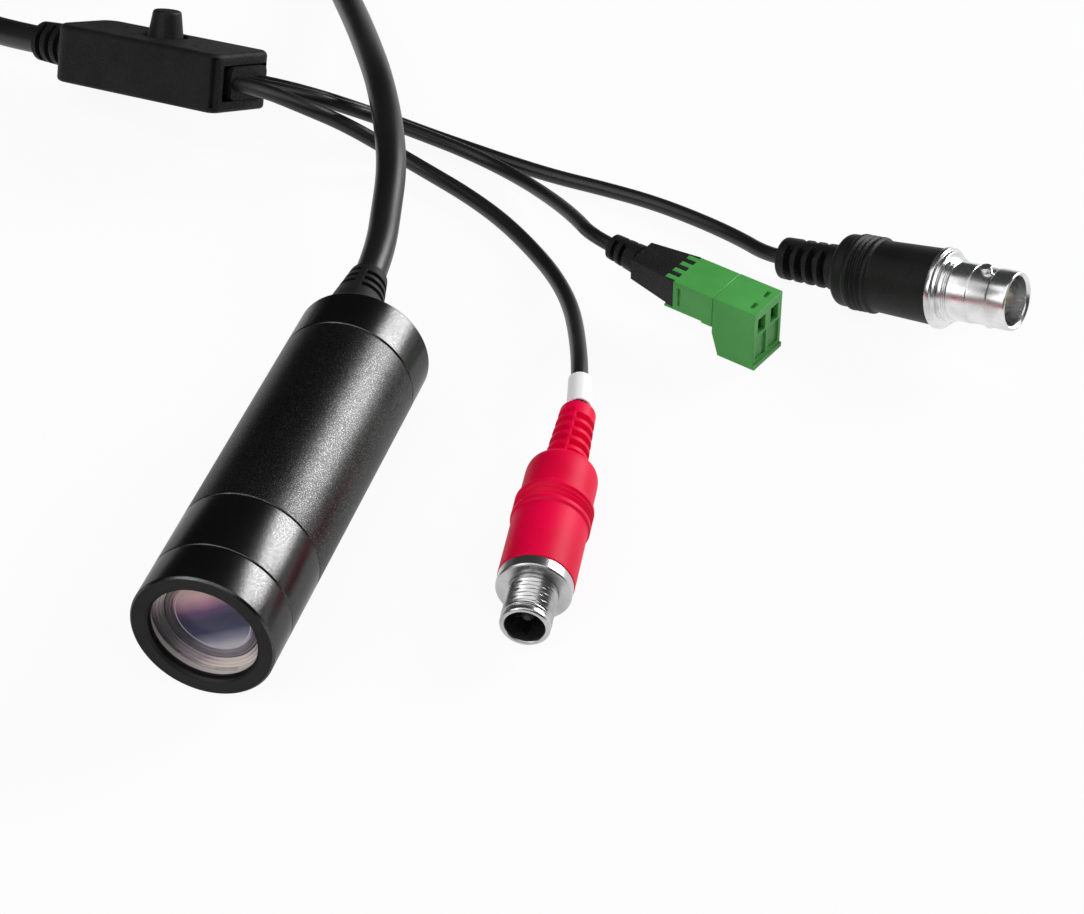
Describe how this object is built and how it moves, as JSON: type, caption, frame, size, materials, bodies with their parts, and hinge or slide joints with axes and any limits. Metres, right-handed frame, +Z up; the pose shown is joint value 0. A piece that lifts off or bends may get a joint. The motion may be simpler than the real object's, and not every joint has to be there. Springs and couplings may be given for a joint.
{
  "type": "miniature broadcast camera",
  "caption": "Sealed tube camera with a windowed screw-in lens, cable, in-line joystick box and breakout leads ending in video jack, power jack and pluggable terminal block.",
  "frame": {"origin": "on the table under the middle of the barrel, which lies on its side", "axes": "+Y along the barrel from the lens to the cable end, +Z up"},
  "size_m": [0.2409, 0.2614, 0.022],
  "materials": {
    "blasted_anodise": "bead-blasted black anodise",
    "satin_anodise": "smooth satin black anodise",
    "window_glass": "polished flat glass",
    "lens_glass": "coated optical glass",
    "seal_rubber": "plain moulded seal",
    "sensor_package": "dark package under a clear lid",
    "board": "green solder resist",
    "chip": "moulded package",
    "ivory_plastic": "moulded socket",
    "steel": "bright zinc",
    "gold_contact": "gold plate",
    "wire_sleeving": "insulated wires",
    "cable_jacket": "soft matt jacket",
    "black_moulding": "soft satin moulding",
    "tie_strap": "woven strap",
    "red_moulding": "soft satin moulding",
    "plated_shell": "bright nickel plate",
    "white_plastic": "white insulator",
    "black_plastic": "moulded insert",
    "green_plastic": "moulded terminal plastic"
  },
  "bodies": {
    "camera": {"board_connectors": "ivory_plastic", "board_screws": "steel", "board_spacers": "steel", "cable_boot": "black_moulding", "cable_coil": "cable_jacket", "cable_tail": "cable_jacket", "cable_wires": "wire_sleeving", "camera_cable": "cable_jacket", "coil_ties": "tie_strap", "control_box": "black_moulding", "control_lead": "cable_jacket", "header_pins": "gold_contact", "image_sensor": "sensor_package", "ir_filter": "lens_glass", "joint_seal_rings": "seal_rubber", "lens_holder": "satin_anodise", "lens_housing": "satin_anodise", "main_barrel": "blasted_anodise", "marker_sleeve": "white_plastic", "power_board": "board", "power_inductor": "chip", "power_insulator": "black_plastic", "power_lead": "cable_jacket", "power_moulding": "red_moulding", "power_pin": "gold_contact", "power_shell": "plated_shell", "processor_board": "board", "rear_cap": "satin_anodise", "sensor_board": "board", "switch_base": "chip", "switch_board": "board", "switch_cover": "steel", "terminal_header": "green_plastic", "terminal_hood": "black_moulding", "video_contact": "gold_contact", "video_insulator": "white_plastic", "video_lead": "cable_jacket", "video_moulding": "black_moulding", "video_processor": "chip", "video_shell": "plated_shell"},
    "cap_carrier": {"cap_seal_ring": "seal_rubber"},
    "front_cap": {"front_cap": "satin_anodise", "window_seal": "seal_rubber", "window_glass": "window_glass", "window_ring": "satin_anodise"},
    "lens_carrier": {"focus_seal_ring": "seal_rubber"},
    "lens": {"lens_barrel": "satin_anodise", "lens_front_ring": "satin_anodise", "lens_front_element": "lens_glass", "lens_rear_element": "lens_glass"},
    "plunger": {"switch_plunger": "steel"},
    "gimbal": {"switch_gimbal": "steel"},
    "joystick": {"switch_stick": "steel", "joystick_cap": "black_moulding"},
    "plug": {"terminal_plug": "green_plastic", "plug_contacts": "gold_contact"},
    "screw_left": {"clamp_screw_left": "steel"},
    "screw_right": {"clamp_screw_right": "steel"},
    "cage_left": {"wire_cage_left": "steel"},
    "cage_right": {"wire_cage_right": "steel"}
  },
  "joints": [
    {"name": "front_cap_travel", "type": "slide", "parent": "camera", "child": "cap_carrier", "axis": [0, -1, 0], "range_m": [0, 0.003]},
    {"name": "front_cap_turn", "type": "hinge", "parent": "cap_carrier", "child": "front_cap", "pos_m": [0, 0, 0.011], "axis": [0, -1, 0], "range_deg": [0, 1440]},
    {"name": "lens_focus_travel", "type": "slide", "parent": "camera", "child": "lens_carrier", "axis": [0, -1, 0], "range_m": [-0.0005, 0.0005]},
    {"name": "lens_focus_turn", "type": "hinge", "parent": "lens_carrier", "child": "lens", "pos_m": [0, 0, 0.011], "axis": [0, -1, 0], "range_deg": [-360, 360]},
    {"name": "joystick_press", "type": "slide", "parent": "camera", "child": "plunger", "axis": [0.0182, -0.4239, -0.9055], "range_m": [0, 0.0003], "stiffness_N_per_m": 3000},
    {"name": "joystick_tilt_side", "type": "hinge", "parent": "plunger", "child": "gimbal", "pos_m": [-0.06351, 0.10743, 0.0107], "axis": [0.9504, -0.274, 0.1473], "range_deg": [-8, 8], "stiffness_Nm_per_rad": 0.05},
    {"name": "joystick_tilt_along", "type": "hinge", "parent": "gimbal", "child": "joystick", "pos_m": [-0.06351, 0.10743, 0.0107], "axis": [0.3105, 0.8633, -0.3979], "range_deg": [-8, 8], "stiffness_Nm_per_rad": 0.05},
    {"name": "terminal_plug_pull", "type": "slide", "parent": "camera", "child": "plug", "axis": [0.9426, -0.3338, 0], "range_m": [0, 0.012]},
    {"name": "clamp_screw_left_turn", "type": "hinge", "parent": "plug", "child": "screw_left", "pos_m": [0.05532, 0.06408, 0], "axis": [0, 0, 1], "range_deg": [0, 1800]},
    {"name": "wire_cage_left_lift", "type": "slide", "parent": "plug", "child": "cage_left", "axis": [0, 0, -1], "range_m": [0, 0.002]},
    {"name": "clamp_screw_right_turn", "type": "hinge", "parent": "plug", "child": "screw_right", "pos_m": [0.05659, 0.06767, 0], "axis": [0, 0, 1], "range_deg": [0, 1800]},
    {"name": "wire_cage_right_lift", "type": "slide", "parent": "plug", "child": "cage_right", "axis": [0, 0, -1], "range_m": [0, 0.002]}
  ],
  "couplings": [
    {"joint": "front_cap_turn", "follows": "front_cap_travel", "rad_per_m": 8376.7},
    {"joint": "lens_focus_turn", "follows": "lens_focus_travel", "rad_per_m": 12565},
    {"joint": "clamp_screw_left_turn", "follows": "wire_cage_left_lift", "rad_per_m": 15706},
    {"joint": "clamp_screw_right_turn", "follows": "wire_cage_right_lift", "rad_per_m": 15706}
  ]
}
